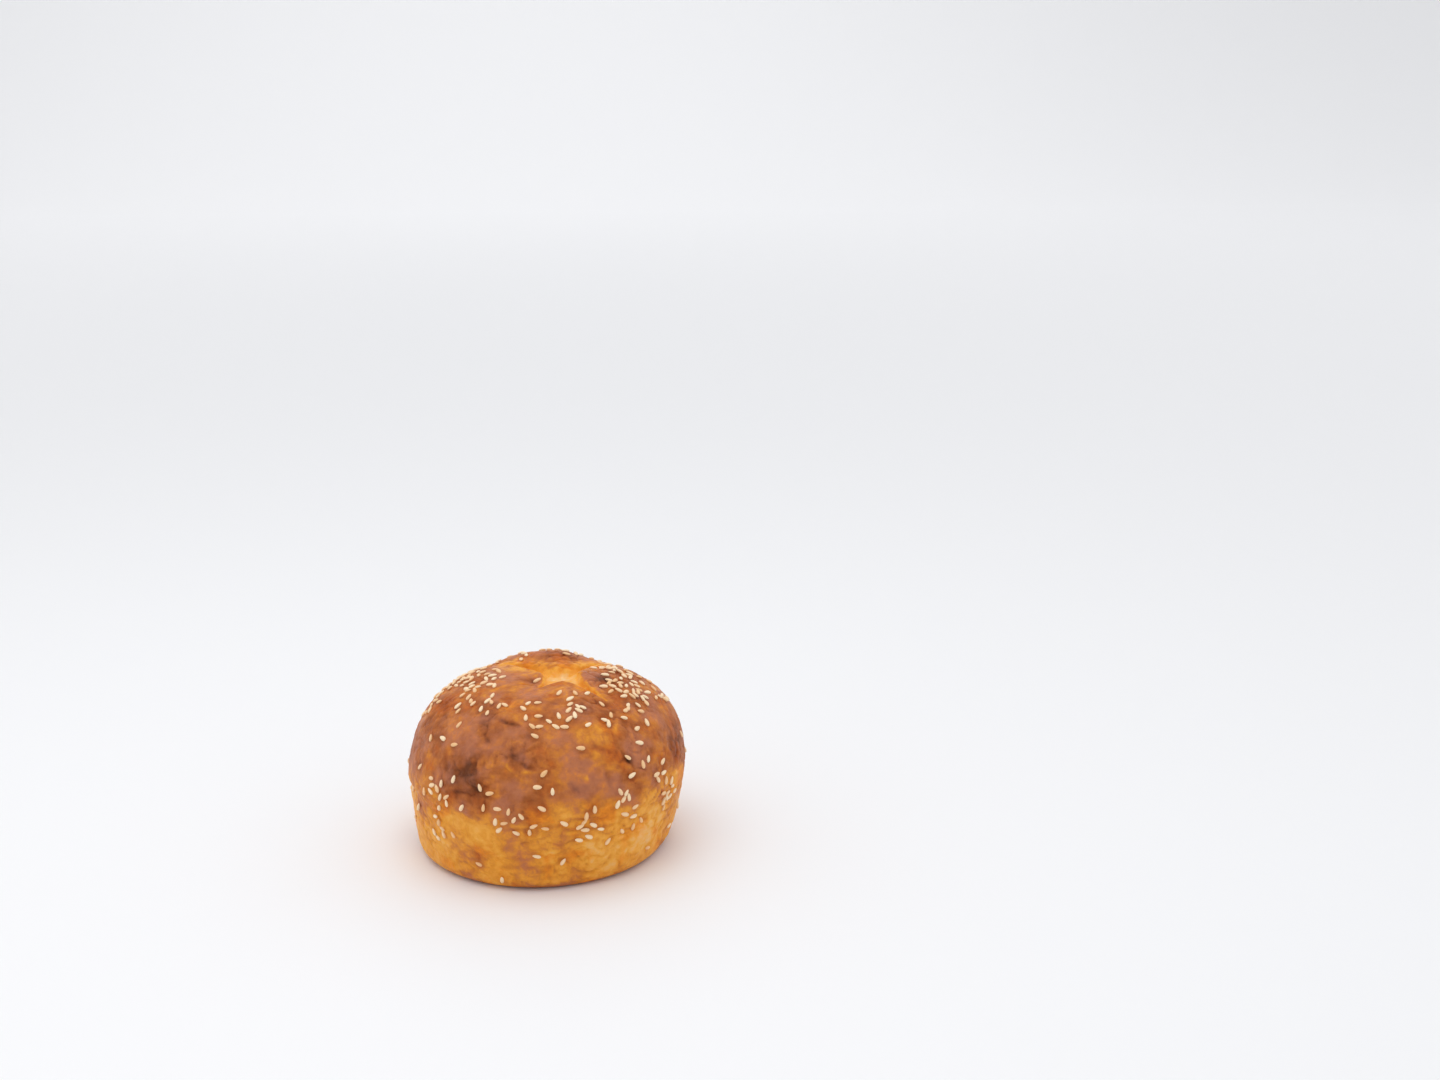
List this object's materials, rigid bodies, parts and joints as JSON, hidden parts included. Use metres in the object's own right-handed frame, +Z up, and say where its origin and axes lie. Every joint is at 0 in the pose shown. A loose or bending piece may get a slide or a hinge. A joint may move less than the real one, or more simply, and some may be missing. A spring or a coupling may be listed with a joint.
{
  "type": "soft sandwich roll",
  "caption": "Round soft sandwich roll with a flat base, a domed golden-brown crust, a cross cut on the crown and sesame seeds fused to the crust.",
  "frame": {"origin": "centre of the flat base, at the height of the surface that the roll stands on", "axes": "+Z up through the crown, -Y towards the front of the roll, +X to the right seen from the front"},
  "size_m": [0.1055, 0.1057, 0.0696],
  "materials": {
    "crust": "egg-washed baked crust, golden orange with brown mottling, satin",
    "sesame": "lightly toasted hulled sesame seed, satin"
  },
  "bodies": {
    "root": {"sesame_roll": "crust"}
  },
  "joints": []
}
